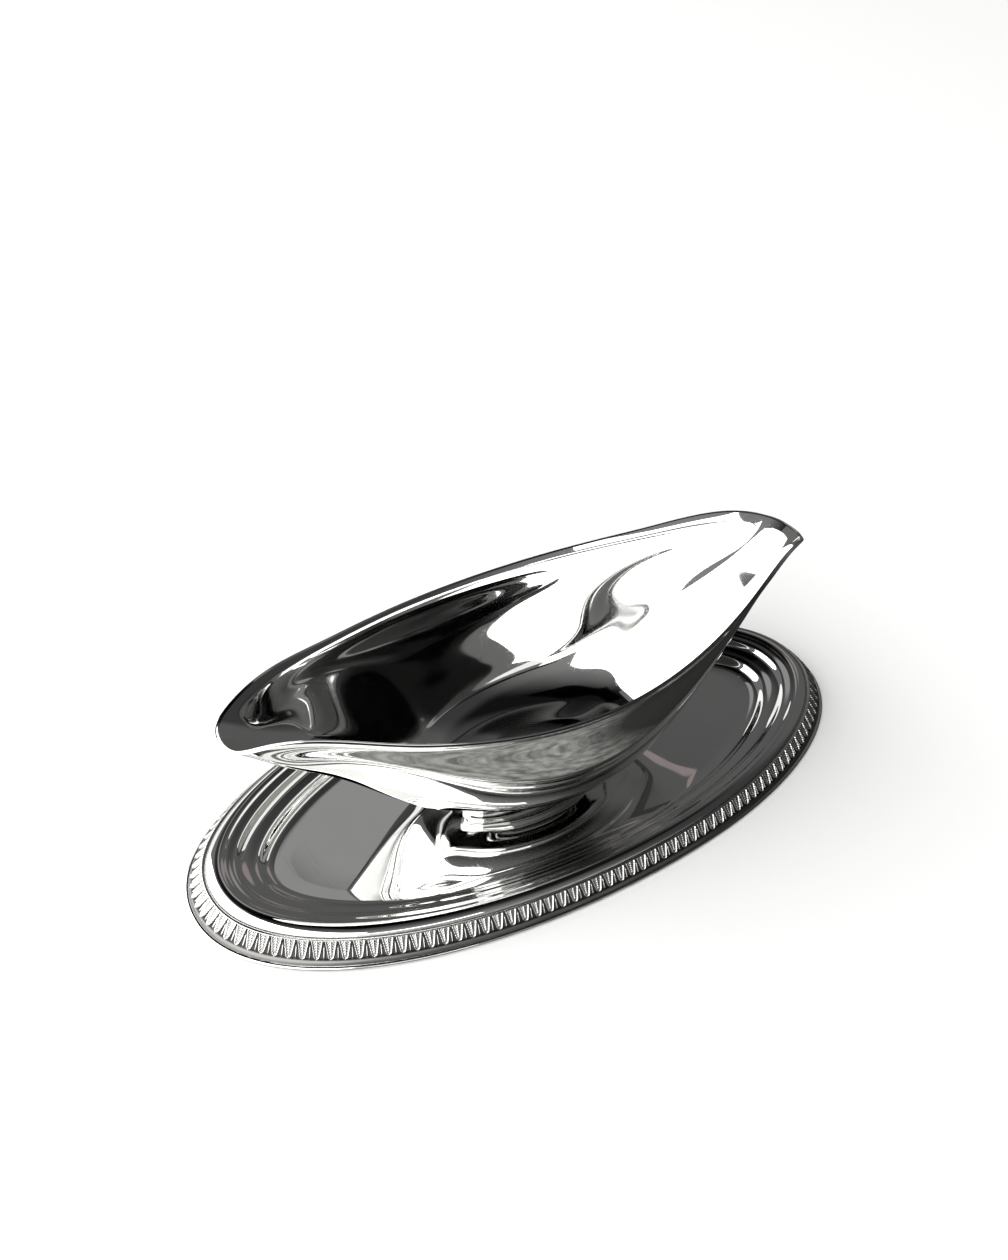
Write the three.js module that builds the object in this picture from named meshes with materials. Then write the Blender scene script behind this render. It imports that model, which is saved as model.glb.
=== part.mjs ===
// Gravy boat with a pouring lip at each end, fixed to its own oval stand.
//
// The stand is a drawn oval dish with a border of upright leaves around its flank and a wire
// under its edge. The boat has a low oval foot. A screw soldered into the foot goes down
// through the raised pad in the middle of the stand, where a washer and a round nut hold it.
//
// Millimetres, +Z up, +X along the boat. The origin is on the table, under the stand's middle.

import * as THREE from 'three';

// ---------------------------------------------------------------- driving dimensions

const gap = 0.3;                 // clearance between pieces that rest on, or sit in, each other
const stations = 64;             // points around each oval

// Stand
const standLength = 234;
const standWidth = 110;
const standSquareness = 2.11;    // power of the superellipse: 2 is an ellipse, more is squarer
const standSheet = 0.9;
const standHeight = 9.6;         // the crest of the edge
const crestInset = 6.1;
const crestRoundAcross = 0.9;    // where the crest begins to round over, outside its highest line
const crestRoundDown = 0.5;
const floorInset = 18;           // from the stand's outline to its flat floor, at the sides
const flankSpreadAtEnds = 4.6;   // how much wider the flank is at the ends than at the sides
const coveSpreadAtEnds = 4.9;    // and the cove between the crest and the flat floor
const floorHeight = 2.6;

// Wire under the stand's edge
const edgeWireWidth = 2.0;
const edgeWireHeight = 1.1;

// Leaf border
const leafCount = 136;
const leafFootInset = 1.3;
const leafFootHeight = 2.9;
const leafTopInset = 3.6;
const leafTopHeight = 7.2;
const leafStripThickness = 0.6;
const leafRelief = 0.5;
const plainBandInset = 0.3;      // the plain band below the leaves, at its lower edge

// Raised pad in the middle of the stand
const padLength = 50;
const padWidth = 18;
const padHeight = 3.5;           // above the floor
const padSlope = 1.5;            // how far its side leans out

// Boat
const boatLength = 203;
const boatWidth = 76;
const boatWall = 1.0;
const boatBottomHeight = 10.2;   // underside of the bowl, above the table
const rimHeightMiddle = 57.2;    // above the table
const shoulderRise = 10.3;       // from there up to the shoulders beside each lip
const lipDrop = 4.2;             // from a shoulder down to the tip of its lip
const lipWidth = 14;
const lipRoundness = 60;         // the higher, the blunter the tip
const bellyFullness = 0.6;       // how much blunter than the rim the bowl's bottom is at its ends
const bellyRise = 0.33;          // the lower, the sooner the bowl's ends rise with the rim

// Boat's foot and what fixes it
const footInsetOnPad = 1.0;
const footFlare = 1.5;           // how much wider it is where it meets the bowl
const footSheet = 1.0;
const footWaist = 1.2;           // how far the foot's side curves in
const footPlateThickness = 1.2;
const studDiameter = 5;
const studHeadDiameter = 8;
const studHeadThickness = 1.0;
const studEndHeight = 0.5;       // above the table
const studHoleClearance = 0.6;
const threadedClearance = 0.3;
const washerDiameter = 11;
const washerThickness = 0.8;
const nutDiameter = 11;
const nutHeight = 2.8;
const nutFlutes = 12;
const nutFluteDepth = 0.6;

// ---------------------------------------------------------------- worked out from them

const padTop = floorHeight + padHeight;
const padUnderside = padTop - standSheet;
const footBottom = padTop + gap;
const footTop = boatBottomHeight - gap;
const studHoleRadius = studDiameter / 2 + studHoleClearance;
const nutBoreRadius = studDiameter / 2 + threadedClearance;
const washerTop = padUnderside - gap;
const nutTop = washerTop - washerThickness - gap;

// ---------------------------------------------------------------- materials

const silverPlate = () => new THREE.MeshStandardMaterial({ color: 0xd9d8d4, metalness: 1, roughness: 0.06 });
const castSilverPlate = () => new THREE.MeshStandardMaterial({ color: 0xcfcdc8, metalness: 1, roughness: 0.2 });
const nickelSilver = () => new THREE.MeshStandardMaterial({ color: 0xb9b4a8, metalness: 1, roughness: 0.35 });
const brass = () => new THREE.MeshStandardMaterial({ color: 0xb08d4c, metalness: 1, roughness: 0.35 });

// ---------------------------------------------------------------- shapes used by several pieces

const angleAt = (index, count = stations) => (2 * Math.PI * index) / count;

function power(value, exponent) {
  return Math.sign(value) * Math.abs(value) ** exponent;
}

/** A point on an oval (a superellipse), by angle. */
function ovalPoint(halfLength, halfWidth, squareness, angle) {
  const share = 2 / squareness;
  return new THREE.Vector2(
    halfLength * power(Math.cos(angle), share),
    halfWidth * power(Math.sin(angle), share),
  );
}

/** A point on the stand at a distance in from its outline, measured square to the outline. */
function standPoint(inset, height, angle) {
  const halfLength = standLength / 2;
  const halfWidth = standWidth / 2;
  const edge = ovalPoint(halfLength, halfWidth, standSquareness, angle);
  const along = edge.x / halfLength;
  const across = edge.y / halfWidth;
  const outward = new THREE.Vector2(
    power(along, standSquareness - 1) / halfLength,
    power(across, standSquareness - 1) / halfWidth,
  ).normalize();
  const flankShare = Math.min(inset / crestInset, 1);
  const coveShare = Math.max((inset - crestInset) / (floorInset - crestInset), 0);
  const spread = flankSpreadAtEnds * flankShare + coveSpreadAtEnds * coveShare;
  const distance = inset + spread * along * along;
  return new THREE.Vector3(edge.x - distance * outward.x, edge.y - distance * outward.y, height);
}

/** An oval row of points at one height. */
function ovalRow(halfLength, halfWidth, height, squareness = 2, count = stations) {
  return Array.from({ length: count }, (_, index) => {
    const point = ovalPoint(halfLength, halfWidth, squareness, angleAt(index, count));
    return new THREE.Vector3(point.x, point.y, height);
  });
}

/**
 * A closed body through rows of points. Each row runs anticlockwise seen from above, and the
 * rows go up the outside, over the top and down the inside. The last row joins the first
 * one, unless the rows start and end with a single point on the middle line.
 */
function loft(rows) {
  const positions = [];
  const starts = rows.map((row) => {
    const start = positions.length / 3;
    row.forEach((point) => positions.push(point.x, point.y, point.z));
    return start;
  });
  const count = Math.max(...rows.map((row) => row.length));
  const triangles = [];
  const at = (row, index) => starts[row] + (rows[row].length === 1 ? 0 : index % count);
  const closesOnItself = rows[0].length > 1;
  const bands = closesOnItself ? rows.length : rows.length - 1;
  for (let band = 0; band < bands; band += 1) {
    const next = (band + 1) % rows.length;
    for (let index = 0; index < count; index += 1) {
      const corners = [at(band, index), at(band, index + 1), at(next, index + 1), at(next, index)];
      if (rows[band].length > 1) triangles.push(corners[0], corners[1], corners[2]);
      if (rows[next].length > 1) triangles.push(corners[0], corners[2], corners[3]);
    }
  }
  const geometry = new THREE.BufferGeometry();
  geometry.setAttribute('position', new THREE.Float32BufferAttribute(positions, 3));
  geometry.setIndex(triangles);
  geometry.computeVertexNormals();
  return geometry;
}

/** The row of points a sheet's thickness behind a middle row, square to the surface. */
function rowBehind(rows, rowIndex, thickness) {
  const row = rows[rowIndex];
  const below = rows[Math.max(rowIndex - 1, 0)];
  const above = rows[Math.min(rowIndex + 1, rows.length - 1)];
  return row.map((point, index) => {
    const ahead = row[(index + 1) % row.length];
    const behind = row[(index + row.length - 1) % row.length];
    const around = new THREE.Vector3().subVectors(ahead, behind);
    const upward = new THREE.Vector3().subVectors(above[index], below[index]);
    const outward = around.cross(upward).normalize();
    return point.clone().addScaledVector(outward, -thickness);
  });
}

/** A smooth curve through points, as a function of their first coordinate. */
function through(points) {
  const slopeAt = (index) => {
    const before = points[Math.max(index - 1, 0)];
    const after = points[Math.min(index + 1, points.length - 1)];
    return (after[1] - before[1]) / (after[0] - before[0]);
  };
  return (place) => {
    const last = points.length - 2;
    const found = points.findIndex((point) => point[0] > place) - 1;
    const index = found < 0 ? last : Math.min(found, last);
    const [from, to] = [points[index], points[index + 1]];
    const span = to[0] - from[0];
    const t = (place - from[0]) / span;
    const rise = to[1] - from[1];
    const startPull = span * slopeAt(index) - rise;
    const endPull = rise - span * slopeAt(index + 1);
    return from[1] + t * rise + t * (1 - t) * ((1 - t) * startPull + t * endPull);
  };
}

/** A polyline moved sideways by a distance, to its left. */
function besideLine(points, distance) {
  return points.map((point, index) => {
    const before = points[Math.max(index - 1, 0)];
    const after = points[Math.min(index + 1, points.length - 1)];
    const direction = new THREE.Vector2().subVectors(after, before).normalize();
    return new THREE.Vector2(point.x - distance * direction.y, point.y + distance * direction.x);
  });
}

function ringAround(section) {
  return loft(section.map((point) => (
    Array.from({ length: stations }, (_, index) => standPoint(point.x, point.y, angleAt(index)))
  )));
}

function turned(points, segments = 24) {
  const geometry = new THREE.LatheGeometry(points.map(([radius, height]) => (
    new THREE.Vector2(radius, height))), segments);
  return geometry.rotateX(Math.PI / 2);
}

function piece(name, geometry, material) {
  const mesh = new THREE.Mesh(geometry, material);
  mesh.name = name;
  return mesh;
}

// ---------------------------------------------------------------- stand

/** The flank's straight line, from the foot of the leaves to their top. */
const flankFoot = new THREE.Vector2(leafFootInset, leafFootHeight);
const flankTop = new THREE.Vector2(leafTopInset, leafTopHeight);

function makeEdgeWire() {
  const round = edgeWireHeight / 3;
  return ringAround([
    new THREE.Vector2(0, 0),
    new THREE.Vector2(0, edgeWireHeight - 2 * round),
    new THREE.Vector2(round / 2, edgeWireHeight - round / 2),
    new THREE.Vector2(2 * round, edgeWireHeight),
    new THREE.Vector2(edgeWireWidth, edgeWireHeight),
    new THREE.Vector2(edgeWireWidth, 0),
  ]);
}

/** The stand's upper side, from the flank's lower edge over the crest to the flat floor. */
function standTopLine() {
  const flank = besideLine([flankFoot, flankTop], -(leafStripThickness + gap));
  const coveWidth = floorInset - crestInset;
  const coveDepth = standHeight - floorHeight;
  // Mouldings between the crest and the floor, as shares of the cove's width and depth.
  const mouldings = [
    [0.08, 0.1], [0.15, 0.19], [0.22, 0.14], [0.29, 0.2], [0.42, 0.42], [0.56, 0.53],
    [0.68, 0.58], [0.8, 0.8], [0.91, 0.96], [1, 1],
  ];
  return [
    new THREE.Vector2(flank[0].x, edgeWireHeight + gap),
    flank[0],
    flank[1],
    new THREE.Vector2(leafTopInset + gap, leafTopHeight + leafRelief),
    new THREE.Vector2(crestInset - crestRoundAcross, standHeight - crestRoundDown),
    new THREE.Vector2(crestInset, standHeight),
    ...mouldings.map(([across, down]) => (
      new THREE.Vector2(crestInset + across * coveWidth, standHeight - down * coveDepth)
    )),
  ];
}

function makeStand() {
  const topLine = standTopLine();
  const underLine = besideLine(topLine, -standSheet).reverse();
  const row = (point) => Array.from({ length: stations }, (_, index) => (
    standPoint(point.x, point.y, angleAt(index))));
  const padFootLength = padLength / 2 + padSlope;
  const padFootWidth = padWidth / 2 + padSlope;
  return loft([
    ...topLine.map(row),
    ovalRow(padFootLength, padFootWidth, floorHeight),
    ovalRow(padLength / 2, padWidth / 2, padTop),
    ovalRow(studHoleRadius, studHoleRadius, padTop),
    ovalRow(studHoleRadius, studHoleRadius, padUnderside),
    ovalRow(padLength / 2 - standSheet, padWidth / 2 - standSheet, padUnderside),
    ovalRow(padFootLength - standSheet, padFootWidth - standSheet, floorHeight - standSheet),
    ...underLine.map(row),
  ]);
}

// ---------------------------------------------------------------- leaf border

/** Turns a share of the way around the stand's outline into its angle. */
function makeAngleFinder() {
  const steps = 2880;
  const travelled = [0];
  for (let step = 1; step <= steps; step += 1) {
    const from = standPoint(0, 0, angleAt(step - 1, steps));
    const to = standPoint(0, 0, angleAt(step, steps));
    travelled.push(travelled[step - 1] + from.distanceTo(to));
  }
  return (share) => {
    const target = share * travelled[steps];
    const step = travelled.findIndex((length) => length >= target);
    if (step < 1) return 0;
    const part = (target - travelled[step - 1]) / (travelled[step] - travelled[step - 1]);
    return angleAt(step - 1 + part, steps);
  };
}

/**
 * A strip with one raised leaf after another. Every second column of points is a leaf's
 * middle rib and the ones between are the gaps, which close towards the leaves' tops.
 */
function makeLeafBorder() {
  const columns = leafCount * 2;
  const angleOfShare = makeAngleFinder();
  const angles = Array.from({ length: columns }, (_, column) => angleOfShare(column / columns));
  const back = besideLine([flankFoot, flankTop], -leafStripThickness);
  const alongFlank = (share) => new THREE.Vector2().lerpVectors(flankFoot, flankTop, share);
  // Each row: its place on the flank's section, and how far the ribs and the gaps stand out.
  const rows = [
    { at: new THREE.Vector2(plainBandInset, edgeWireHeight + gap), rib: 0, between: 0 },
    { at: alongFlank(0), rib: 0, between: 0 },
    { at: alongFlank(0.2), rib: leafRelief, between: 0 },
    { at: alongFlank(0.75), rib: leafRelief, between: leafRelief / 3 },
    { at: alongFlank(1), rib: leafRelief / 2, between: leafRelief / 2 },
    { at: back[1], rib: 0, between: 0 },
    { at: back[0], rib: 0, between: 0 },
    { at: new THREE.Vector2(back[0].x, edgeWireHeight + gap), rib: 0, between: 0 },
  ];
  return loft(rows.map(({ at, rib, between }) => angles.map((angle, column) => {
    const relief = column % 2 === 0 ? rib : between;
    return standPoint(at.x - relief, at.y, angle);
  })));
}

// ---------------------------------------------------------------- boat

/** Half the boat's width from the middle (0) to a lip's tip (1 or -1). The rim's fullness is 1. */
function halfWidth(along, fullness) {
  const body = ((boatWidth - lipWidth) / 2) * power(Math.cos((Math.PI / 2) * along), fullness);
  return body + (lipWidth / 2) * Math.sqrt(1 - along ** lipRoundness);
}

/** How far the rim rises from the middle (0) to a lip's tip (1), as a share of shoulderRise. */
const rimRise = through([
  [0, 0], [0.2, 0.07], [0.4, 0.27], [0.6, 0.6], [0.75, 0.93], [0.85, 1], [0.94, 0.83],
  [1, 1 - lipDrop / shoulderRise],
]);

/**
 * The bowl's side from its flat bottom to the rim. Each row is an oval with its length, its
 * width and its height as shares of the rim's.
 */
const bowlRows = [
  [0.31, 0.42, 0], [0.39, 0.57, 0.025], [0.46, 0.705, 0.1], [0.53, 0.815, 0.215],
  [0.61, 0.9, 0.36], [0.695, 0.97, 0.52], [0.79, 1, 0.67], [0.88, 0.987, 0.8],
  [0.93, 0.972, 0.89], [0.965, 0.975, 0.95], [1, 1, 1],
];

function bowlRow(lengthShare, widthShare, heightShare) {
  const fullness = 1 - bellyFullness * (1 - heightShare);
  return Array.from({ length: stations }, (_, index) => {
    const along = Math.cos(angleAt(index));
    const side = index <= stations / 2 ? 1 : -1;
    const rise = shoulderRise * rimRise(Math.abs(along)) * heightShare ** bellyRise;
    return new THREE.Vector3(
      (boatLength / 2) * lengthShare * along,
      side * widthShare * halfWidth(along, fullness),
      boatBottomHeight + heightShare * (rimHeightMiddle - boatBottomHeight) + rise,
    );
  });
}

function makeBowl() {
  const outside = bowlRows.map((shares) => bowlRow(...shares));
  const inside = outside.map((_, index) => rowBehind(outside, index, boatWall)).reverse();
  const middle = (height) => [new THREE.Vector3(0, 0, height)];
  return loft([
    middle(boatBottomHeight), ...outside, ...inside, middle(boatBottomHeight + boatWall),
  ]);
}

/** A hollow oval collar with its side drawn in at the waist. */
function makeFoot() {
  const halfLength = padLength / 2 - footInsetOnPad;
  const halfWidth = padWidth / 2 - footInsetOnPad;
  const middleHeight = (footBottom + footTop) / 2;
  const row = (grow, height) => ovalRow(halfLength + grow, halfWidth + grow, height);
  return loft([
    row(0, footBottom),
    row(-footWaist, middleHeight),
    row(footFlare, footTop),
    row(footFlare - footSheet, footTop),
    row(-footWaist - footSheet, middleHeight),
    row(-footSheet, footBottom),
  ]);
}

const footPlateTop = footBottom + footPlateThickness;

/** The plate that closes the foot and carries the stud. */
function makeFootPlate() {
  const inset = footInsetOnPad + footSheet + footWaist + gap;
  const outside = (height) => ovalRow(padLength / 2 - inset, padWidth / 2 - inset, height);
  const hole = (height) => ovalRow(nutBoreRadius, nutBoreRadius, height);
  return loft([outside(footBottom), outside(footPlateTop), hole(footPlateTop), hole(footBottom)]);
}

function makeStud() {
  const radius = studDiameter / 2;
  const headBottom = footPlateTop + gap;
  const chamfer = radius / 4;
  return turned([
    [0, studEndHeight],
    [radius - chamfer, studEndHeight],
    [radius, studEndHeight + chamfer],
    [radius, headBottom],
    [studHeadDiameter / 2, headBottom],
    [studHeadDiameter / 2, headBottom + studHeadThickness],
    [0, headBottom + studHeadThickness],
  ]);
}

function makeWasher() {
  const bottom = washerTop - washerThickness;
  const radius = washerDiameter / 2;
  return turned([
    [nutBoreRadius, bottom], [radius, bottom], [radius, washerTop], [nutBoreRadius, washerTop],
    [nutBoreRadius, bottom],
  ]);
}

/** A round nut with shallow flutes for the fingers, and a plain bore where its thread is. */
function makeNut() {
  const outline = new THREE.Shape();
  const steps = nutFlutes * 6;
  for (let step = 0; step < steps; step += 1) {
    const angle = angleAt(step, steps);
    const radius = nutDiameter / 2 - (nutFluteDepth / 2) * (1 - Math.cos(nutFlutes * angle));
    const place = [radius * Math.cos(angle), radius * Math.sin(angle)];
    if (step === 0) outline.moveTo(...place);
    else outline.lineTo(...place);
  }
  outline.closePath();
  const bore = new THREE.Path();
  bore.absarc(0, 0, nutBoreRadius, 0, 2 * Math.PI, true);
  outline.holes.push(bore);
  const geometry = new THREE.ExtrudeGeometry(outline, {
    depth: nutHeight, bevelEnabled: false, curveSegments: 24,
  });
  return geometry.translate(0, 0, nutTop - nutHeight);
}

// ---------------------------------------------------------------- the whole object

const stand = new THREE.Group();
stand.add(
  piece('stand', makeStand(), silverPlate()),
  piece('leaf_border', makeLeafBorder(), castSilverPlate()),
  piece('edge_wire', makeEdgeWire(), silverPlate()),
);

const boat = new THREE.Group();
boat.add(
  piece('bowl', makeBowl(), silverPlate()),
  piece('foot', makeFoot(), silverPlate()),
  piece('foot_plate', makeFootPlate(), nickelSilver()),
  piece('stud', makeStud(), brass()),
);

const fixing = new THREE.Group();
fixing.add(
  piece('washer', makeWasher(), brass()),
  piece('round_nut', makeNut(), brass()),
);

const group = new THREE.Group();
group.add(stand, boat, fixing);

export default group;
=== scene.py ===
# %% [markdown]
# # A silver-plated gravy boat on its stand
#
# A low boat with a pouring lip at each end stands on a small oval foot. The foot is screwed to
# an oval stand with mouldings round its edge and a border of upright leaves on its flank.
# Almost everything that the eye sees on polished silver is the room around it. So the shapes
# are made very smooth, the metal gets only faint marks, and the lights get the most care.

import math

import bpy
import numpy as np
from mathutils import Matrix, Vector


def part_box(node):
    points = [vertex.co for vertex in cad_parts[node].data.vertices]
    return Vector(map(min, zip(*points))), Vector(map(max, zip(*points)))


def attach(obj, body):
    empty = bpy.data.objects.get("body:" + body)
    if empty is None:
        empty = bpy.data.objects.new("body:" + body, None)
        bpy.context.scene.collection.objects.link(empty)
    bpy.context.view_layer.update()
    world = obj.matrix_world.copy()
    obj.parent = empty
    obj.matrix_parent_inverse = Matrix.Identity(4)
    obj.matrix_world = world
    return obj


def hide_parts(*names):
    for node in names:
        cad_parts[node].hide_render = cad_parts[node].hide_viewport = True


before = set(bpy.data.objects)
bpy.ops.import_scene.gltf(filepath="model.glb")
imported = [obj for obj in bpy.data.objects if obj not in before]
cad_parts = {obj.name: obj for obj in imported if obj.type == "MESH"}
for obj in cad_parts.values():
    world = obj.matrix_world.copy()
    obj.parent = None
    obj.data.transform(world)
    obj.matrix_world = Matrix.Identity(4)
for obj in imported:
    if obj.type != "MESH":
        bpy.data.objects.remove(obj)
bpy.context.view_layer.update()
print("nodes:", sorted(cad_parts))

# %% [markdown]
# ## Millimetres, colours and nodes
#
# Tableware is drawn in millimetres and Blender works in metres, so every shape is worked out
# in millimetres and scaled once, when its mesh is made. Colours are written as the sRGB codes
# that one reads off a paint card, and one function turns them into the linear values that
# shaders expect.

# %% Units and colours
MM = 0.001


def linear(code):
    """An sRGB hex code as a linear colour with alpha."""
    channels = [int(code[i:i + 2], 16) / 255 for i in (1, 3, 5)]
    straight = [
        c / 12.92 if c <= 0.04045 else ((c + 0.055) / 1.055) ** 2.4 for c in channels
    ]
    return straight + [1.0]


print("polished silver in linear light:", [round(c, 3) for c in linear("#FAFAF9")])

# %% One function adds a node with its settings and its links


def add_node(tree, kind, inputs=None, **settings):
    """Adds a node. An input is a plain value, or an output socket to link from."""
    node = tree.nodes.new(kind)
    for name, value in settings.items():
        setattr(node, name, value)
    for name, value in (inputs or {}).items():
        socket = node.inputs[name]
        if isinstance(value, bpy.types.NodeSocket):
            tree.links.new(value, socket)
        else:
            socket.default_value = value
    return node


def new_material(name):
    """An empty material with its shader node and its output node."""
    material = bpy.data.materials.new(name)
    material.use_nodes = True
    tree = material.node_tree
    tree.nodes.clear()
    shader = add_node(tree, "ShaderNodeBsdfPrincipled")
    add_node(tree, "ShaderNodeOutputMaterial", {"Surface": shader.outputs["BSDF"]})
    return material, tree, shader


# %% [markdown]
# ## Smooth lines
#
# A mirror shows every flaw in a surface, even where the slope is right and only the bend
# changes suddenly. A natural cubic spline keeps the bend smooth as well, so all the profiles
# here are splines through a few points that a silversmith would mark on a template.

# %% A smooth line through marked points


def smooth_line(points, count):
    """Points along a natural cubic spline through the marked points, evenly spaced."""
    marks = np.array(points, float)
    steps = np.linalg.norm(np.diff(marks, axis=0), axis=1)
    place = np.concatenate([[0], np.cumsum(steps)])
    return spline_at(place, marks, np.linspace(0, place[-1], count))


def spline_at(place, marks, wanted):
    """A natural cubic spline through marks at their places, read at the wanted places."""
    n = len(place)
    step = np.diff(place)
    matrix = np.eye(n)
    right = np.zeros((n, marks.shape[1]))
    slope = np.diff(marks, axis=0) / step[:, None]
    for i in range(1, n - 1):
        matrix[i, i - 1:i + 2] = step[i - 1], 2 * (step[i - 1] + step[i]), step[i]
        right[i] = 6 * (slope[i] - slope[i - 1])
    bend = np.linalg.solve(matrix, right)
    i = np.clip(np.searchsorted(place, wanted, side="right") - 1, 0, n - 2)
    h = step[i][:, None]
    a, b = (place[i + 1] - wanted)[:, None], (wanted - place[i])[:, None]
    curved = (bend[i] * a**3 + bend[i + 1] * b**3) / (6 * h)
    first = (marks[i] / h - bend[i] * h / 6) * a
    second = (marks[i + 1] / h - bend[i + 1] * h / 6) * b
    return curved + (first + second)


# %% A skin over rows of points


def skin(name, rows, body, node, closed=False, cap=False):
    """A smooth mesh over rows of points in millimetres, each row a ring seen anticlockwise."""
    rows = np.asarray(rows, float)
    count, ring = rows.shape[:2]
    bands = count if closed else count - 1
    r, c = np.meshgrid(np.arange(bands), np.arange(ring), indexing="ij")
    after, beside = (r + 1) % count, (c + 1) % ring
    corners = [r * ring + c, r * ring + beside, after * ring + beside, after * ring + c]
    faces = np.stack(corners, -1).reshape(-1, 4).tolist()
    if cap:
        faces.append(list(range(ring))[::-1])
        faces.append([(count - 1) * ring + c for c in range(ring)])
    mesh = bpy.data.meshes.new(name)
    mesh.from_pydata((rows.reshape(-1, 3) * MM).tolist(), [], faces)
    mesh.polygons.foreach_set("use_smooth", [True] * len(mesh.polygons))
    piece = bpy.data.objects.new(name, mesh)
    bpy.context.scene.collection.objects.link(piece)
    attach(piece, body)
    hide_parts(node)
    low, high = rows.reshape(-1, 3).min(0), rows.reshape(-1, 3).max(0)
    print(f"{name}: {len(faces)} faces, {np.round(high - low, 1)} mm")
    return piece


# %% [markdown]
# ## The stand's outline
#
# The stand is an oval a little fuller than an ellipse. Everything on it follows the outline at
# a distance measured square to it, and the flank and the mouldings are somewhat wider at the
# two ends than along the sides.

# %% Sizes of the stand, from the frame where it has them
_, stand_high = (np.array(corner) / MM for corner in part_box("stand"))
_, wire_high = (np.array(corner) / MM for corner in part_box("edge_wire"))
HALF_LENGTH = wire_high[0]
HALF_WIDTH = wire_high[1]
CREST_HEIGHT = stand_high[2]
SQUARENESS = 2.11  # 2 would be an ellipse
CREST_INSET = 6.1
FLOOR_INSET = 18
FLANK_SPREAD = 4.6  # how much wider the flank is at the two ends
COVE_SPREAD = 4.9  # the same for the mouldings and the cove
FLOOR_HEIGHT = 2.6
SHEET = 0.9
print(f"stand {2 * HALF_LENGTH:.0f} x {2 * HALF_WIDTH:.0f} mm")
print(f"crest {CREST_HEIGHT:.1f} mm high")

# %% A row of points on the stand


def signed_power(value, exponent):
    return np.sign(value) * np.abs(value) ** exponent


def even_angles(count):
    return np.arange(count) * 2 * math.pi / count


def stand_row(inset, height, angles):
    """Points at a distance in from the stand's outline. The three may be arrays."""
    share = 2 / SQUARENESS
    along = signed_power(np.cos(angles), share)
    across = signed_power(np.sin(angles), share)
    normal_x = signed_power(along, SQUARENESS - 1) / HALF_LENGTH
    normal_y = signed_power(across, SQUARENESS - 1) / HALF_WIDTH
    size = np.hypot(normal_x, normal_y)
    flank = np.minimum(inset / CREST_INSET, 1)
    cove = np.maximum((inset - CREST_INSET) / (FLOOR_INSET - CREST_INSET), 0)
    distance = inset + (FLANK_SPREAD * flank + COVE_SPREAD * cove) * along**2
    x = HALF_LENGTH * along - distance * normal_x / size
    y = HALF_WIDTH * across - distance * normal_y / size
    return np.stack([x, y, height + 0 * x], -1)


def oval_row(half_length, half_width, height, angles):
    x = half_length * np.cos(angles)
    return np.stack([x, half_width * np.sin(angles), height + 0 * x], -1)


# %% [markdown]
# ## The dish of the stand
#
# The real dish is drawn from one sheet in a press: a flank, a rounded crest, two small
# mouldings, a cove and a flat floor with a raised pad for the boat. Its section is one line,
# so the dish is that line carried round the oval, with a second line one sheet below it.

# %% The dish
DISH_ANGLES = even_angles(480)
flank_behind_border = [(2.6, 1.4), (2.75, 2.9), (4.8, 6.9)]
shoulder_and_mouldings = [
    (4.0, 7.55), (4.25, 8.25), (5.05, 9.15), (6.1, CREST_HEIGHT), (7.1, 9.3), (7.85, 8.75),
    (8.6, 8.5), (9.5, 8.2), (10.4, 7.35), (11.6, 6.35), (12.9, 5.75), (14.1, 5.3),
    (15.4, 4.1), (16.7, 3.0), (18.0, FLOOR_HEIGHT),
]
top_line = np.concatenate([flank_behind_border, smooth_line(shoulder_and_mouldings, 150)])
PAD_HALF_LENGTH, PAD_HALF_WIDTH, PAD_TOP = 25.0, 9.0, 6.1
SCREW_HOLE = 3.1
pad_side = smooth_line([(2.3, 0.0), (1.5, 0.25), (0.75, 1.75), (0, 3.25), (-1.0, 3.5)], 14)


def rings_between(first, last, count):
    """Rows in a straight line from one ring to another, without the two ends."""
    shares = np.linspace(0, 1, count + 2)[1:-1]
    return [first + (last - first) * share for share in shares]


def dish_side(line, drop):
    """Rows over one side of the sheet, from its edge to the screw hole."""
    rows = [stand_row(inset, height, DISH_ANGLES) for inset, height in line]
    floor = FLOOR_HEIGHT - drop
    pad = [oval_row(PAD_HALF_LENGTH + out, PAD_HALF_WIDTH + out, floor + up, DISH_ANGLES)
           for out, up in pad_side]
    hole = oval_row(SCREW_HOLE, SCREW_HOLE, PAD_TOP - drop, DISH_ANGLES)
    floor_rows = rings_between(rows[-1], pad[0], 10)
    pad_top_rows = rings_between(pad[-1], hole, 4)
    return rows + floor_rows + pad + pad_top_rows + [hole]


def line_beside(line, distance):
    """The line moved square to itself, to its right."""
    along = np.gradient(line, axis=0)
    along /= np.linalg.norm(along, axis=1)[:, None]
    return line + distance * np.stack([along[:, 1], -along[:, 0]], -1)


upper_side = dish_side(top_line, 0)
lower_side = dish_side(line_beside(top_line, SHEET), SHEET)
dish = skin("dish", upper_side + lower_side[::-1], "stand_body", "stand",
            closed=True)

# %% [markdown]
# ## The bead under the stand's edge
#
# A half-round wire is soldered under the edge so that the thin sheet stands flat. It is drawn
# as its section carried round the same outline.

# %% The edge bead
BEAD_RADIUS, BEAD_BACK = 0.62, 2.0
bead_turn = np.linspace(-math.pi / 2, math.pi / 2, 15)
bead_section = [(BEAD_RADIUS * (1 - math.cos(t)), BEAD_RADIUS * (1 + math.sin(t)))
                for t in bead_turn]
bead_section += [(BEAD_BACK, 2 * BEAD_RADIUS), (BEAD_BACK, 0.0)]
bead_rows = [stand_row(inset, height, DISH_ANGLES) for inset, height in bead_section]
bead = skin("edge_bead", bead_rows, "stand_body", "edge_wire", closed=True)

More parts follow.
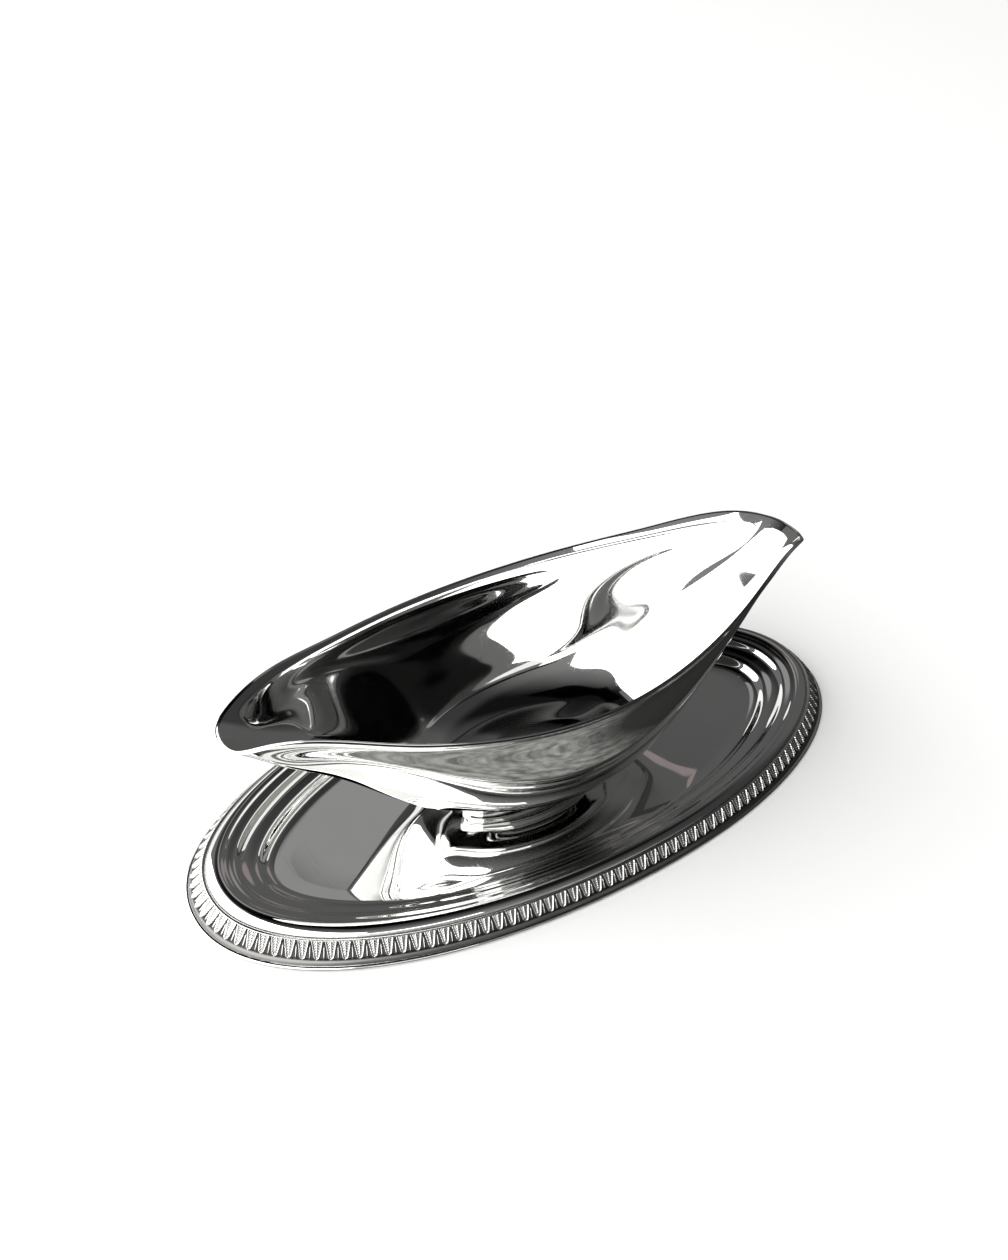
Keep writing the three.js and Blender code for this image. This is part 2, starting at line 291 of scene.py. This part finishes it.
# %% [markdown]
# ## The leaf border
#
# The border is a stamped strip, bent round the flank and soldered on. One leaf is a tongue
# with a raised edge, a middle vein and fine cross cuts, and a small dart fills the gap between
# two leaves. The relief is written as a height for every place on one leaf, and the strip
# repeats it, so the light catches real edges. The depth is also stored on the mesh, because
# the hollows get painted shade, a dark colour in the silver.

# %% The height of one leaf
LEAVES = 136
RELIEF = 0.8
CROSS_CUTS, CUT_SLANT = 7, 5
EDGE_IN, EDGE_HALF, VEIN_HALF, DART_HALF = 0.065, 0.075, 0.05, 0.07  # in widths of one leaf


def bump(distance, width):
    """A rounded ridge, one high in its middle and gone beyond its width."""
    return np.clip(1 - (distance / width) ** 2, 0, 1) ** 1.5


def leaf_height(across, up):
    """Height of the strip, from 0 to 1. Across runs from -0.5 to 0.5 over one leaf."""
    side = np.abs(across)
    foot = np.clip((up - 0.02) / 0.14, 0, 1)
    half_width = (0.2 + 0.26 * up) * np.sqrt(1 - (1 - foot) ** 2)
    inside = np.clip((half_width - side) / 0.04, 0, 1)
    edge = bump(half_width - EDGE_IN - side, EDGE_HALF)
    vein = bump(side, VEIN_HALF) * np.clip((up - 0.1) / 0.15, 0, 1)
    cuts = 0.5 + 0.5 * np.cos(2 * math.pi * (up * CROSS_CUTS + side * CUT_SLANT))
    blade = 0.28 + 0.3 * cuts
    leaf = inside * np.maximum(blade, np.maximum(edge, 0.8 * vein))
    dart = bump(0.5 - side, DART_HALF) * np.clip(up / 0.08, 0, 1)
    dart = dart * np.clip((0.8 - up) / 0.2, 0, 1)
    top = np.clip((up - 0.93) / 0.04, 0, 1)
    return np.maximum(np.maximum(leaf, 0.7 * dart) * (1 - top), 0.85 * top)


COLUMNS, ROWS = 26, 36
across_leaf = (np.arange(COLUMNS) + 0.5) / COLUMNS - 0.5
print("heights along one leaf's middle:", np.round(leaf_height(0.0, np.linspace(0, 1, 9)), 2))

# %% The strip of leaves
FOOT_OF_LEAF, TOP_OF_LEAF = np.array([1.3, 2.9]), np.array([3.6, 7.2])
SET_BACK = 0.35  # the strip's own face lies this far behind the line from foot to top
PLAIN_DEPTH = 0.3


def angles_by_length(count):
    """Angles that are evenly spaced along the outline."""
    fine = even_angles(5760)
    outline = stand_row(0, 0, fine)
    steps = np.linalg.norm(np.roll(outline, -1, 0) - outline, axis=1)
    travelled = np.concatenate([[0], np.cumsum(steps)])
    wanted = np.arange(count) * travelled[-1] / count
    return np.interp(wanted, travelled, np.append(fine, 2 * math.pi))


border_angles = angles_by_length(LEAVES * len(across_leaf))
across_all = np.tile(across_leaf, LEAVES)
flank_slope = TOP_OF_LEAF - FOOT_OF_LEAF
flank_out = np.array([-flank_slope[1], flank_slope[0]]) / np.linalg.norm(flank_slope)
border_rows, border_depth = [], []
for inset, height in smooth_line([(0.62, 1.3), (0.8, 2.0), (1.1, 2.7)], 6):
    border_rows.append(stand_row(inset, height, border_angles))
    border_depth.append(np.full(len(border_angles), PLAIN_DEPTH))
for up in np.linspace(0, 1, ROWS):
    height = leaf_height(across_all, up)
    place = FOOT_OF_LEAF + up * flank_slope
    lifted = place[:, None] + flank_out[:, None] * (RELIEF * height - SET_BACK)
    border_rows.append(stand_row(lifted[0], lifted[1], border_angles))
    border_depth.append(height)
for inset, height in [(4.3, 7.3), (2.3, 2.9), (2.0, 1.3)]:
    border_rows.append(stand_row(inset, height, border_angles))
    border_depth.append(np.full(len(border_angles), PLAIN_DEPTH))
border = skin("leaf_strip", border_rows, "stand_body", "leaf_border",
              closed=True)
stored = border.data.attributes.new("leaf_height", "FLOAT", "POINT")
stored.data.foreach_set("value", np.concatenate(border_depth))

# %% [markdown]
# ## The boat
#
# A silversmith raises the bowl from one sheet. It is round below, drawn in a little under the
# rim and turned out again at the rim, and its ends run out into two lips. The rows are ovals
# that start as a full oval at the bottom and end as the pointed rim, and the rim itself rises
# towards each lip and drops at the tip.

# %% Sizes of the boat
bowl_low, bowl_high = (np.array(corner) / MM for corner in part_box("bowl"))
BOAT_HALF = bowl_high[0]
BOTTOM = bowl_low[2]
RIM_MIDDLE = 57.2
SHOULDER_RISE = 10.3
LIP_DROP = 4.2
BOAT_WIDTH = 76.0
LIP_WIDTH = 14.0
LIP_BLUNTNESS = 60  # a higher number makes the tip of the lip squarer
WALL = 1.0
print(f"boat {2 * BOAT_HALF:.0f} mm long, from {BOTTOM:.1f} to {bowl_high[2]:.1f} mm high")

# %% The rim and the rows of the boat
rise_marks = np.array([
    (-0.2, 0.07), (0, 0), (0.2, 0.07), (0.4, 0.27), (0.6, 0.6), (0.75, 0.925), (0.85, 1.0),
    (0.93, 0.86), (1, 1 - LIP_DROP / SHOULDER_RISE),
])


def rim_rise(along):
    share = spline_at(rise_marks[:, 0], rise_marks[:, 1:], np.abs(along))[:, 0]
    return SHOULDER_RISE * share


def boat_row(length_share, width_share, height_share, angles):
    along = np.cos(angles)
    side = np.where(np.sin(angles) >= 0, 1, -1)
    fullness = 1 - 0.6 * (1 - height_share)
    body = (BOAT_WIDTH - LIP_WIDTH) / 2 * np.cos(math.pi / 2 * along) ** fullness
    half_width = body + LIP_WIDTH / 2 * np.sqrt(1 - along**LIP_BLUNTNESS)
    # The ends rise only with height, so the flat bottom of the bowl stays flat.
    raised = max(height_share, 0)
    rise = rim_rise(along) * raised / (raised + 0.004) ** 0.67
    height = height_share * (RIM_MIDDLE - BOTTOM) + rise
    return np.stack([BOAT_HALF * length_share * along, side * width_share * half_width,
                     BOTTOM + height], -1)


boat_marks = np.array([
    (0.0, 0.0, 0), (0.11, 0.15, 0), (0.215, 0.29, 0), (0.31, 0.42, 0.004), (0.39, 0.57, 0.025),
    (0.46, 0.705, 0.1), (0.53, 0.815, 0.215), (0.61, 0.9, 0.36), (0.695, 0.97, 0.52),
    (0.79, 1.0, 0.67), (0.88, 0.987, 0.8), (0.93, 0.972, 0.89), (0.965, 0.975, 0.95), (1, 1, 1),
])

# %% The bowl
BOAT_ANGLES = even_angles(360)
shares = smooth_line(boat_marks, 150)[3:]
outside = np.array([boat_row(*row, BOAT_ANGLES) for row in shares])
around = np.roll(outside, -1, 1) - np.roll(outside, 1, 1)
upward = np.gradient(outside, axis=0)
outward = np.cross(around, upward)
outward /= np.linalg.norm(outward, axis=2)[:, :, None]
inside = outside - WALL * outward
top_out, top_in = outside[-1], inside[-1]
top_normal = np.cross(outward[-1], around[-1])
top_normal /= -np.linalg.norm(top_normal, axis=1)[:, None]
middle = (top_out + top_in) / 2
edge = [middle + math.cos(t) * (top_out - middle) + math.sin(t) * WALL / 2 * top_normal
        for t in np.linspace(0, math.pi, 9)[1:-1]]
bowl_rows = list(outside) + edge + list(inside[::-1])
bowl = skin("boat_bowl", bowl_rows, "boat_body", "bowl", cap=True)

# %% [markdown]
# ## The foot, its plate and what fixes them
#
# The boat stands on a small oval foot with a drawn-in waist. A plate closes the foot, and a
# screw soldered to it goes through the stand. A washer and a round nut hold it from below.
# The screw gets a real thread: its radius goes in and out along a helix.

# %% The foot
foot_low, _ = (np.array(corner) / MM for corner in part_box("foot"))
FOOT_ANGLES = even_angles(160)
FOOT_HALF_LENGTH, FOOT_HALF_WIDTH = 24.0, 8.0
foot_line = smooth_line(
    [(0, 0), (-0.1, 0.5), (-1.0, 1.0), (-1.15, 1.9), (-0.2, 2.9), (1.4, 3.45)], 22)


def foot_side(line, sheet):
    """Rows up or down one side of the foot's sheet."""
    return [oval_row(FOOT_HALF_LENGTH + out - sheet, FOOT_HALF_WIDTH + out - sheet,
                     foot_low[2] + up, FOOT_ANGLES) for out, up in line]


foot_rows = foot_side(foot_line, 0) + foot_side(foot_line[::-1], SHEET)
foot = skin("oval_foot", foot_rows, "boat_body", "foot", closed=True)

# %% The plate in the foot
plate_low, plate_high = (np.array(corner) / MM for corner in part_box("foot_plate"))
plate_half = plate_high[:2]
ROUNDING = 0.2
PLATE_HOLE = 2.8
plate_side = [(ROUNDING, plate_low[2]), (0, plate_low[2] + ROUNDING),
              (0, plate_high[2] - ROUNDING), (ROUNDING, plate_high[2])]
plate_rows = [oval_row(plate_half[0] - inset, plate_half[1] - inset, height, FOOT_ANGLES)
              for inset, height in plate_side]
plate_rows += [oval_row(PLATE_HOLE, PLATE_HOLE, height, FOOT_ANGLES)
               for height in (plate_high[2], plate_low[2])]
plate = skin("foot_plate_oval", plate_rows, "boat_body", "foot_plate",
             closed=True)

# %% The screw
stud_low, stud_high = (np.array(corner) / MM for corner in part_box("stud"))
PITCH, THREAD_DEPTH, SCREW_RADIUS = 0.8, 0.38, 2.5
TIP_LENGTH, TIP_SHARE = 0.6, 0.82
UNDER_HEAD = plate_high[2] + 0.3
HEAD = stud_high[0]
screw_angles = even_angles(64)
screw_rows = []
for height in np.arange(stud_low[2], UNDER_HEAD, 0.1):
    turn = (height / PITCH - screw_angles / (2 * math.pi)) % 1
    end = min((height - stud_low[2]) / TIP_LENGTH, 1)
    thread = SCREW_RADIUS - THREAD_DEPTH * np.abs(2 * turn - 1)
    radius = thread * (TIP_SHARE + (1 - TIP_SHARE) * end)
    screw_rows.append(oval_row(radius, radius, height, screw_angles))
for radius, height in [(HEAD - ROUNDING, UNDER_HEAD), (HEAD, UNDER_HEAD + ROUNDING),
                       (HEAD, stud_high[2] - ROUNDING), (HEAD - ROUNDING, stud_high[2])]:
    screw_rows.append(oval_row(radius, radius, height, screw_angles))
screw = skin("screw", screw_rows, "boat_body", "stud", cap=True)

# %% The washer
washer_low, washer_high = (np.array(corner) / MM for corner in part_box("washer"))
BORE, RIM, SOFTENED = 2.85, 5.5, 0.15  # radii of the washer and nut, and the broken edge
washer_section = [
    (BORE, washer_low[2]), (RIM - SOFTENED, washer_low[2]), (RIM, washer_low[2] + SOFTENED),
    (RIM, washer_high[2] - SOFTENED), (RIM - SOFTENED, washer_high[2]), (BORE, washer_high[2]),
]
washer_rows = [oval_row(radius, radius, height, screw_angles)
               for radius, height in washer_section]
washer = skin("washer_ring", washer_rows, "washer_body", "washer", closed=True)

# %% The round nut
nut_low, nut_high = (np.array(corner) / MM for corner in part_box("round_nut"))
FLUTES, FLUTE_DEPTH = 12, 0.3
nut_angles = even_angles(FLUTES * 12)
flute = FLUTE_DEPTH * (1 - np.cos(FLUTES * nut_angles))
nut_section = [  # radius, height, and how deep the flutes are there
    (BORE, nut_low[2], 0), (4.7, nut_low[2], 0), (5.2, nut_low[2] + 0.25, 0.6),
    (RIM, nut_low[2] + 0.6, 1), (RIM, nut_high[2] - 0.4, 1), (5.2, nut_high[2] - 0.1, 0.8),
    (4.9, nut_high[2], 0.3), (BORE, nut_high[2], 0),
]
nut_rows = []
for radius, height, depth in nut_section:
    reach = radius - depth * flute
    nut_rows.append(oval_row(reach, reach, height, nut_angles))
nut = skin("round_nut_fluted", nut_rows, "nut_body", "round_nut", closed=True)

# %% [markdown]
# ## Polished silver plate
#
# Silver plate on nickel silver, buffed to a mirror. Its colour is almost neutral and a touch
# greyer where the haze is thick. Buffing leaves a very faint ripple a few centimetres long, a
# haze and, where spoons and cloths have been, some single scratches. The ripple bends the
# reflections, and the haze only softens them a little. All of it could be painted, but noise at
# the real sizes fits any shape and repeats nowhere.

# %% Polished silver plate


def hairline_height(tree, place):
    """Two crossing sets of fine marks, as one height."""
    # Real hairlines are a few hundredths of a millimetre wide. These are coarser, to show.
    heights = []
    for turn, size in ((0.4, 0.25 * MM), (1.9, 0.35 * MM)):
        spun = add_node(tree, "ShaderNodeMapping",
                        {"Vector": place, "Rotation": (0, 0, turn), "Scale": (1, 0.02, 1)})
        line = add_node(tree, "ShaderNodeTexNoise",
                        {"Vector": spun.outputs["Vector"], "Scale": 1 / size, "Detail": 0.0})
        mark = add_node(tree, "ShaderNodeMapRange",
                        {"Value": line.outputs["Fac"], "From Min": 0.76, "From Max": 0.84,
                         "To Min": 0.0, "To Max": 1.0})
        heights.append(mark.outputs["Result"])
    both = add_node(tree, "ShaderNodeMath", {0: heights[0], 1: heights[1]}, operation="ADD")
    return both.outputs["Value"]


RIPPLE_SIZE, HAZE_SIZE = 28 * MM, 9 * MM


def polished_silver(name, scratch_depth, ripple_depth):
    """A mirror whose reflections bend a little, with a thin haze and a few marks."""
    material, tree, shader = new_material(name)
    place = add_node(tree, "ShaderNodeTexCoord").outputs["Object"]
    shader.inputs["Metallic"].default_value = 1.0
    ripple = add_node(tree, "ShaderNodeTexNoise",
                      {"Vector": place, "Scale": 1 / RIPPLE_SIZE, "Detail": 1.5,
                       "Roughness": 0.4})
    haze = add_node(tree, "ShaderNodeTexNoise",
                    {"Vector": place, "Scale": 1 / HAZE_SIZE, "Detail": 5.0})
    rough = add_node(tree, "ShaderNodeMapRange",
                     {"Value": haze.outputs["Fac"], "From Min": 0.35, "From Max": 0.75,
                      "To Min": 0.015, "To Max": 0.06})
    tree.links.new(rough.outputs["Result"], shader.inputs["Roughness"])
    tone = add_node(tree, "ShaderNodeMix",
                    {"Factor": haze.outputs["Fac"], "A": linear("#FAFAF9"),
                     "B": linear("#F1F1EF")}, data_type="RGBA")
    tree.links.new(tone.outputs[2], shader.inputs["Base Color"])
    wave = add_node(tree, "ShaderNodeBump",
                    {"Strength": 1.0, "Distance": ripple_depth,
                     "Height": ripple.outputs["Fac"]})
    scratch = add_node(tree, "ShaderNodeBump",
                       {"Strength": 1.0, "Distance": scratch_depth,
                        "Height": hairline_height(tree, place),
                        "Normal": wave.outputs["Normal"]}, invert=True)
    tree.links.new(scratch.outputs["Normal"], shader.inputs["Normal"])
    return material


bowl_silver = polished_silver("silver_plate_buffed_bowl", 0.0015 * MM, 0.08 * MM)
dish_silver = polished_silver("silver_plate_buffed_dish", 0.001 * MM, 0.07 * MM)
print("ripple 28 mm, haze 9 mm, hairlines 0.25 to 0.35 mm apart")

# %% [markdown]
# ## The stamped border, brass and nickel silver
#
# The border has the same plate as the dish, but its hollows get painted shade, a dark colour in
# the silver, and its raised edges shine. The depth stored on the mesh says which is which, and
# that keeps the painted shade exactly in the relief. The hidden fixings are plainer: the screw,
# washer and nut are turned brass, and the plate in the foot is rolled nickel silver. Both are
# satin, with tool marks that run round them.

# %% Stamped silver plate with painted shade in its hollows
border_silver, tree, shader = new_material("silver_plate_stamped_border")
depth = add_node(tree, "ShaderNodeAttribute", attribute_name="leaf_height")
place = add_node(tree, "ShaderNodeTexCoord").outputs["Object"]
GRIT_SIZE = 0.45 * MM  # the skin of the die, coarser than real so that it shows
grit = add_node(tree, "ShaderNodeTexNoise",
                {"Vector": place, "Scale": 1 / GRIT_SIZE, "Detail": 3.0})
clear_of_painted_shade = add_node(tree, "ShaderNodeMapRange",
                 {"Value": depth.outputs["Fac"], "From Min": 0.2, "From Max": 0.7,
                  "To Min": 0.0, "To Max": 1.0})
# Painted shade: the hollows of the relief get a dark silver colour, the raised parts the bright
# one, and the hollows are rougher.
tone = add_node(tree, "ShaderNodeMix",
                {"Factor": clear_of_painted_shade.outputs["Result"], "A": linear("#4A4846"),
                 "B": linear("#FAFAF8")}, data_type="RGBA")
tree.links.new(tone.outputs[2], shader.inputs["Base Color"])
rough = add_node(tree, "ShaderNodeMapRange",
                 {"Value": clear_of_painted_shade.outputs["Result"], "To Min": 0.38, "To Max": 0.1})
tree.links.new(rough.outputs["Result"], shader.inputs["Roughness"])
shader.inputs["Metallic"].default_value = 1.0
fine = add_node(tree, "ShaderNodeBump",
                {"Strength": 0.6, "Distance": 0.03 * MM, "Height": grit.outputs["Fac"]})
tree.links.new(fine.outputs["Normal"], shader.inputs["Normal"])
print("border: dark below 0.2 of the relief, bright above 0.7, grit 0.45 mm")

# %% Turned brass and rolled nickel silver
STAIN_SIZE = 4 * MM


def turned_metal(name, code, worn_code, roughness, ring):
    """A satin metal with tool marks that run round its middle, and a slightly uneven tone."""
    material, tree, shader = new_material(name)
    place = add_node(tree, "ShaderNodeTexCoord").outputs["Object"]
    rings = add_node(tree, "ShaderNodeTexWave",
                     {"Vector": place, "Scale": 1 / ring, "Distortion": 1.5, "Detail": 2.0},
                     wave_type="RINGS", rings_direction="Z")
    stain = add_node(tree, "ShaderNodeTexNoise",
                     {"Vector": place, "Scale": 1 / STAIN_SIZE, "Detail": 4.0})
    tone = add_node(tree, "ShaderNodeMix",
                    {"Factor": stain.outputs["Fac"], "A": linear(code),
                     "B": linear(worn_code)}, data_type="RGBA")
    rough = add_node(tree, "ShaderNodeMapRange",
                     {"Value": stain.outputs["Fac"], "To Min": roughness - 0.08,
                      "To Max": roughness + 0.1})
    marks = add_node(tree, "ShaderNodeBump",
                     {"Strength": 0.5, "Distance": 0.01 * MM, "Height": rings.outputs["Fac"]})
    tree.links.new(tone.outputs[2], shader.inputs["Base Color"])
    tree.links.new(rough.outputs["Result"], shader.inputs["Roughness"])
    tree.links.new(marks.outputs["Normal"], shader.inputs["Normal"])
    shader.inputs["Metallic"].default_value = 1.0
    return material


brass = turned_metal("brass_turned", "#E3C37E", "#B08D4C", 0.26, 0.5 * MM)
nickel_silver = turned_metal("nickel_silver_rolled", "#CFC9BC", "#A9A294", 0.32, 0.8 * MM)

# %% Each piece gets its metal
for piece, metal in ((dish, dish_silver), (bead, dish_silver), (border, border_silver),
                     (bowl, bowl_silver), (foot, bowl_silver), (plate, nickel_silver),
                     (screw, brass), (washer, brass), (nut, brass)):
    piece.data.materials.append(metal)
print("materials:", sorted(material.name for material in bpy.data.materials))

# %% [markdown]
# ## The table
#
# The object stands on a plain pale table. On a real shoot the silver mirrors that table too,
# and a white one would fill every lower curve with white and hide its shape. So the table is
# pale to the eye, and what the silver mirrors is a speckled grey stone top with painted light
# and shade on it: white towards the left, near the soft box, and dark towards the right, away
# from it. One top with two looks isn't physical. It was chosen because it can be set without
# changing the pale floor.

# %% The table top
TABLE_WIDTH, JUST_BELOW = 5, -0.0002
bpy.ops.mesh.primitive_plane_add(size=TABLE_WIDTH, location=(0, 0, JUST_BELOW))
table = bpy.context.object
table.name = "table_top"
print(f"table {TABLE_WIDTH} m wide")

# %% What the silver mirrors in the table
paper, tree, shader = new_material("white_card_over_stone")
place = add_node(tree, "ShaderNodeTexCoord").outputs["Object"]
SPECKLE_SIZE = 9 * MM
speckle = add_node(tree, "ShaderNodeTexNoise",
                   {"Vector": place, "Scale": 1 / SPECKLE_SIZE, "Detail": 4.0,
                    "Roughness": 0.6})
grain = add_node(tree, "ShaderNodeMapRange",
                 {"Value": speckle.outputs["Fac"], "From Min": 0.35, "From Max": 0.65})
stone_and_painted_light_and_shade = add_node(tree, "ShaderNodeMix",
                 {"Factor": grain.outputs["Result"], "A": linear("#5E5E5C"),
                  "B": linear("#A3A39F")}, data_type="RGBA")
lengthways = add_node(tree, "ShaderNodeSeparateXYZ", {"Vector": place}).outputs["X"]
# Painted light and shade in what the silver mirrors: the stone turns white towards the left,
# near the soft box, as painted light, and near black towards the right, away from it, as
# painted shade.
for code, near, far in (("#2B2B2A", 0.01, 0.06), ("#F8F8F7", -0.09, -0.12)):
    share = add_node(tree, "ShaderNodeMapRange",
                     {"Value": lengthways, "From Min": near, "From Max": far})
    stone_and_painted_light_and_shade = add_node(tree, "ShaderNodeMix",
                     {"Factor": share.outputs["Result"], "B": linear(code),
                      "A": stone_and_painted_light_and_shade.outputs[2]}, data_type="RGBA")
print("dark from x = 0.06 m, white from x = -0.12 m, speckled between")

# %% What the eye sees of the table
FIBRE_SIZE = 1.5 * MM  # the tooth of the card, coarser than real so that it shows
fibre = add_node(tree, "ShaderNodeTexNoise",
                 {"Vector": place, "Scale": 1 / FIBRE_SIZE, "Detail": 4.0})
tooth = add_node(tree, "ShaderNodeBump",
                 {"Strength": 0.05, "Distance": 0.05 * MM, "Height": fibre.outputs["Fac"]})
mirrored = add_node(tree, "ShaderNodeLightPath").outputs["Is Glossy Ray"]
tone = add_node(tree, "ShaderNodeMix",
                {"Factor": mirrored, "A": linear("#F8F8F7"), "B": stone_and_painted_light_and_shade.outputs[2]},
                data_type="RGBA")
tree.links.new(tone.outputs[2], shader.inputs["Base Color"])
tree.links.new(tooth.outputs["Normal"], shader.inputs["Normal"])
shader.inputs["Roughness"].default_value = 0.9
shader.inputs["Specular IOR Level"].default_value = 0.2
table.data.materials.append(paper)
print("card fibre 1.5 mm")

# %% [markdown]
# ## The camera
#
# The camera looks down on the boat from the front left, close enough that the near side of the
# stand looks larger than the far side. It is placed by how far it turns, lifts and rolls,
# because those can be changed one at a time.

# %% The camera
SENSOR, LENS, DISTANCE = 36, 37.4, 430.5  # all in millimetres
TURN, LIFT, ROLL = -0.5814, 0.6746, 0.0332  # in radians
TO_RIGHT, TO_TOP = -8.60, 47.82
back = np.array([math.sin(TURN) * math.cos(LIFT), -math.cos(TURN) * math.cos(LIFT),
                 math.sin(LIFT)])
level = np.array([math.cos(TURN), math.sin(TURN), 0])
upright = np.cross(back, level)
right = math.cos(ROLL) * level + math.sin(ROLL) * upright
above = -math.sin(ROLL) * level + math.cos(ROLL) * upright
spot = (DISTANCE * back + TO_RIGHT * right + TO_TOP * above) * MM
camera = bpy.data.objects.new("camera", bpy.data.cameras.new("camera"))
camera.data.sensor_width = SENSOR
camera.data.lens = LENS
turned_and_placed = np.column_stack([right, above, back, spot]).tolist()
camera.matrix_world = Matrix(turned_and_placed + [[0, 0, 0, 1]])
bpy.context.scene.collection.objects.link(camera)
bpy.context.scene.camera = camera
print("lens", LENS, "mm, camera at", np.round(spot, 3), "m")

# %% [markdown]
# ## The lights
#
# A mirror-bright object is lit by what it reflects. One very large soft box stands at the left
# and reaches well over the boat. Its straight edges draw the white shapes in the bowl, and it
# throws the soft shadow to the right. Everything else is kept dark, or the silver would look
# like white china. A weaker card behind and one in front give the sides something to reflect.
# All three stand just beyond the table's edges, so no part of the table lies behind a light.

# %% The soft boxes


def soft_box(name, middle, facing, width, height, brightness, slant=0.0):
    """A rectangular light, turned about the way it faces by its slant in degrees."""
    data = bpy.data.lights.new(name, "AREA")
    data.shape = "RECTANGLE"
    data.size, data.size_y = width, height
    data.energy = brightness * math.pi * width * height
    lamp = bpy.data.objects.new(name, data)
    lamp.location = middle
    lamp.rotation_euler = Vector(facing).to_track_quat("-Z", "Y").to_euler()
    lamp.rotation_euler.rotate_axis("Z", math.radians(slant))
    lamp.visible_camera = False
    bpy.context.scene.collection.objects.link(lamp)
    print(f"{name}: {width} x {height} m, {data.energy:.1f} W")
    return lamp


soft_box("soft_box_left", (-2.56, 1.6, 2.3), (1, 0, 0), 12.8, 6.72, 2.5, slant=-8)
soft_box("card_behind", (-0.13, 2.55, 0.4), (0, -1, 0), 2.1, 0.7, 0.9)
soft_box("card_in_front", (-0.79, -2.55, 0.7), (0, 1, 0), 1.6, 0.64, 2.0)

# %% [markdown]
# ## The dim room
#
# What is left of the surroundings is a dim room: walls a little paler at the front left and far
# right, a nearly black ceiling, and three paler patches, a door, a strip beside the soft box
# and a pinkish curtain. It could be built as walls around the table, but writing it as a
# brightness for every direction makes each patch a single line that is easy to move. The room
# shows in the silver only. The table is lit by a plain even light, and an almost white
# backdrop is what the eye sees.

# %% How bright the room is in one direction
world = bpy.data.worlds.new("dim_room")
bpy.context.scene.world = world
world.use_nodes = True
tree = world.node_tree
tree.nodes.clear()
towards = add_node(tree, "ShaderNodeTexCoord").outputs["Generated"]


def part_of_room(axis, starts, full, outside=0.0, inside=1.0):
    """A brightness that changes smoothly with how far one looks along an axis."""
    along = add_node(tree, "ShaderNodeVectorMath", {0: towards, 1: axis},
                     operation="DOT_PRODUCT")
    part = add_node(tree, "ShaderNodeMapRange",
                    {"Value": along.outputs["Value"], "From Min": starts, "From Max": full,
                     "To Min": outside, "To Max": inside}, interpolation_type="SMOOTHSTEP")
    return part.outputs["Result"]


def joined(parts, operation):
    """Several brightnesses as one."""
    total = parts[0]
    for part in parts[1:]:
        total = add_node(tree, "ShaderNodeMath", {0: total, 1: part}, operation=operation)
        total = total.outputs["Value"]
    return total


# %% The walls and the ceiling
DOOR, STRIP, CURTAIN = 0.27, 0.15, 0.26  # how bright the three patches are
CEILING = 0.04
front_left = part_of_room((-0.8, -0.55, -0.2), -0.2, 0.7, 0.006, 0.2)
far_right = part_of_room((0.84, 0.48, 0.24), 0.55, 0.85, 0.0, 0.055)
low_wall = part_of_room((0, 0, 1), 0.62, 0.8, 0.035, 0.0)
walls = joined([front_left, far_right, low_wall], "ADD")
door = part_of_room((0.329, 0.648, 0.687), 0.988, 0.995)
walls = add_node(tree, "ShaderNodeMix", {0: door, 2: walls, 3: DOOR}).outputs[0]
ceiling_ends = [part_of_room((1, 0, 0), 0.15, 0.21), part_of_room((-1, 0, 0), 0.15, 0.21),
                part_of_room((0, 1, 0), 0.44, 0.5), part_of_room((0, -1, 0), 0.24, 0.3)]
under_ceiling = add_node(tree, "ShaderNodeMapRange",
                         {"Value": joined(ceiling_ends, "MAXIMUM"), "To Min": CEILING,
                          "To Max": 1.0})
brightness = joined([walls, under_ceiling.outputs["Result"]], "MULTIPLY")
print("walls 0.006 to 0.2 bright, ceiling", CEILING, "of that")

# %% The strip beside the soft box, and the curtain
beside_box = part_of_room((0.902, -0.09, 0.424), 0.085, 0.105, 1.0, 0.0)
at_back = part_of_room((0, 1, 0), 0.3, 0.36)
strip = joined([beside_box, at_back], "MULTIPLY")
brightness = add_node(tree, "ShaderNodeMix", {0: strip, 2: brightness, 3: STRIP}).outputs[0]
curtain = part_of_room((0.706, 0.525, 0.474), 0.982, 0.992)
brightness = add_node(tree, "ShaderNodeMix", {0: curtain, 2: brightness, 3: CURTAIN}).outputs[0]
hue = add_node(tree, "ShaderNodeMix",
               {"Factor": curtain, "A": linear("#FFFFFF"), "B": linear("#FFEDEE")},
               data_type="RGBA")
print("patches: door", DOOR, "strip", STRIP, "curtain", CURTAIN)

# %% The room in the silver, and the plain light elsewhere
EVEN_LIGHT, BACKDROP = 0.5, 0.93
room = add_node(tree, "ShaderNodeBackground", {"Color": hue.outputs[2], "Strength": brightness})
path = add_node(tree, "ShaderNodeLightPath")
glow = add_node(tree, "ShaderNodeMapRange",
                {"Value": path.outputs["Is Camera Ray"], "To Min": EVEN_LIGHT,
                 "To Max": BACKDROP})
plain = add_node(tree, "ShaderNodeBackground",
                 {"Color": linear("#FFFFFF"), "Strength": glow.outputs["Result"]})
both = add_node(tree, "ShaderNodeMixShader",
                {0: path.outputs["Is Glossy Ray"], 1: plain.outputs["Background"],
                 2: room.outputs["Background"]})
add_node(tree, "ShaderNodeOutputWorld", {"Surface": both.outputs["Shader"]})
bpy.context.scene.view_settings.view_transform = "Standard"
print("even light", EVEN_LIGHT, "backdrop", BACKDROP)
